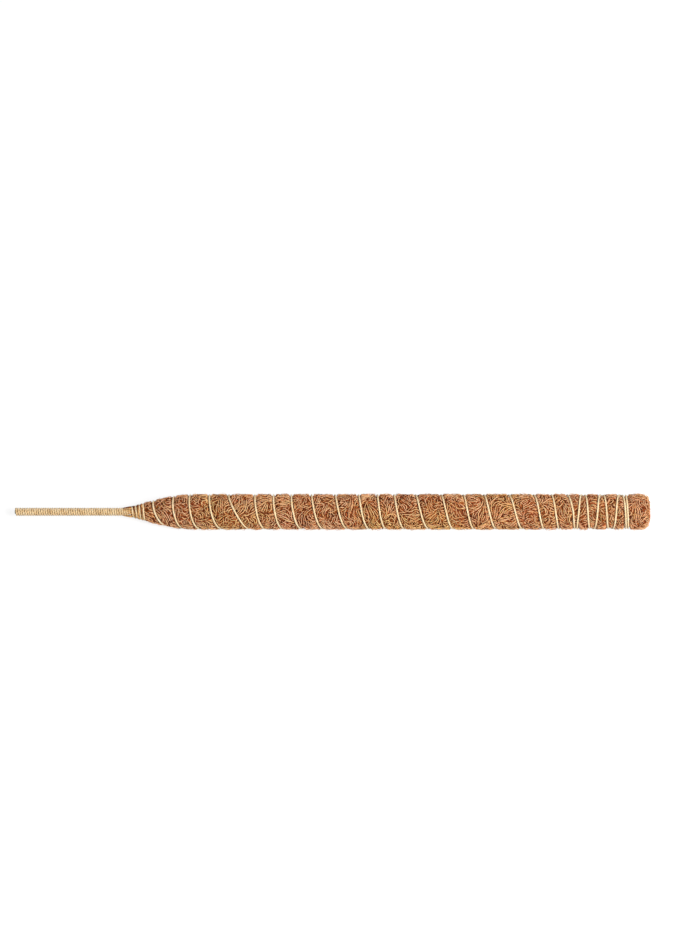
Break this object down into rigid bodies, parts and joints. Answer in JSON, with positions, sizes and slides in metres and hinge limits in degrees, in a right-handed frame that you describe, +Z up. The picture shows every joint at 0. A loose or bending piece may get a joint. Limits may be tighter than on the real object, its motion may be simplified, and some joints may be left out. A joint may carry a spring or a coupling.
{
  "type": "moss pole",
  "caption": "Straight coir moss pole for climbing plants: a bendable wire core in a twine-bound roll of coconut fibre, tapering to a twine-wrapped stake for the pot.",
  "frame": {"origin": "middle of the box's underside, where the pole lies on a table", "axes": "+X along the pole from the stake to the top end, +Z up from the table it lies on"},
  "size_m": [0.746, 0.0437, 0.0409],
  "materials": {
    "steel_wire": "drawn soft steel wire, cut end",
    "sheath_plastic": "extruded green PVC sheath",
    "stake_twine": "three-ply jute twine, closely wound",
    "inner_coir": "loose curled coconut fibre",
    "coir": "matted curled coconut fibre, golden to red brown",
    "binding_twine": "three-ply pale jute twine"
  },
  "bodies": {
    "root": {"core_wire": "steel_wire", "core_sheath": "sheath_plastic", "stake_wrap": "stake_twine", "fibre_filling": "inner_coir", "coir_mat": "coir", "neck_lashing": "binding_twine", "spiral_binding": "binding_twine", "top_lashing": "binding_twine", "tie_knot": "binding_twine"}
  },
  "joints": []
}
